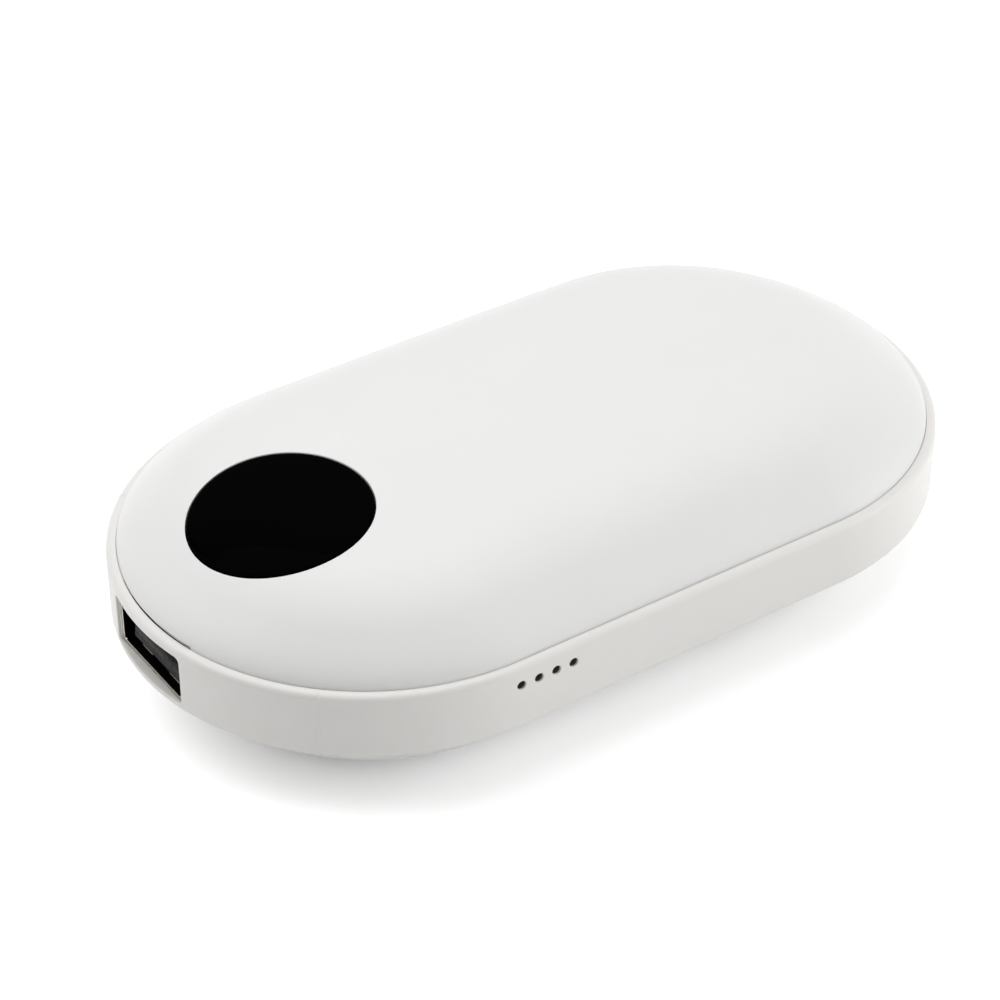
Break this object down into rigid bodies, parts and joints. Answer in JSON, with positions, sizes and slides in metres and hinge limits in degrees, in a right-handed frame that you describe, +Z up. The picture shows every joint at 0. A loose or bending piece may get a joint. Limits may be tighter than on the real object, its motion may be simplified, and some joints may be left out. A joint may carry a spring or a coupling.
{
  "type": "rechargeable hand warmer",
  "caption": "Stadium-shaped rechargeable hand warmer: domed shells on a middle band, round press button, USB output socket, status lights and charging inlet.",
  "frame": {"origin": "on the ground under the middle of the hand warmer", "axes": "+X along the part away from the output socket, +Z up through the button face; the status lights look along -Y"},
  "size_m": [0.104, 0.06, 0.025],
  "materials": {
    "shell_white": "fine moulded satin",
    "band_white": "satin",
    "gloss_black": "polished",
    "inner_plastic": "moulded",
    "black_plastic": "moulded",
    "tongue_plastic": "moulded",
    "steel": "plated",
    "dark_steel": "black plated",
    "gold_plate": "gold plated",
    "board_green": "solder mask",
    "clear_guide": "clear moulded",
    "led_yellow": "phosphor",
    "cell_wrap": "shrink film",
    "nickel": "plain",
    "aluminium_sheet": "rolled",
    "amber_film": "polyimide film",
    "red_lead": "silicone",
    "black_lead": "silicone"
  },
  "bodies": {
    "housing": {"top_shell": "shell_white", "bottom_shell": "shell_white", "middle_frame": "band_white", "button_guide": "inner_plastic", "switch_body": "black_plastic", "main_board": "board_green", "usb_socket_shell": "dark_steel", "usb_socket_tongue": "tongue_plastic", "usb_contact_1": "gold_plate", "usb_contact_2": "gold_plate", "usb_contact_3": "gold_plate", "usb_contact_4": "gold_plate", "charge_inlet_shell": "steel", "charge_inlet_tongue": "black_plastic", "status_light_1": "led_yellow", "status_light_2": "led_yellow", "status_light_3": "led_yellow", "status_light_4": "led_yellow", "light_guide": "clear_guide", "control_chip": "black_plastic", "boost_inductor": "black_plastic", "board_screw_1": "steel", "board_screw_2": "steel", "board_screw_3": "steel", "board_screw_4": "steel", "front_cell": "cell_wrap", "back_cell": "cell_wrap", "near_cell_holder": "inner_plastic", "far_cell_holder": "inner_plastic", "near_cell_strip": "nickel", "far_cell_strip": "nickel", "near_cell_lead": "black_lead", "far_cell_lead": "red_lead", "top_heat_spreader": "aluminium_sheet", "bottom_heat_spreader": "aluminium_sheet", "top_heater_film": "amber_film", "bottom_heater_film": "amber_film", "temperature_sensor": "black_plastic"},
    "button": {"button_cap": "gloss_black", "switch_plunger": "tongue_plastic"}
  },
  "joints": [
    {"name": "button_press", "type": "slide", "parent": "housing", "child": "button", "axis": [0, 0, -1], "range_m": [0, 0.0005], "stiffness_N_per_m": 1500}
  ]
}
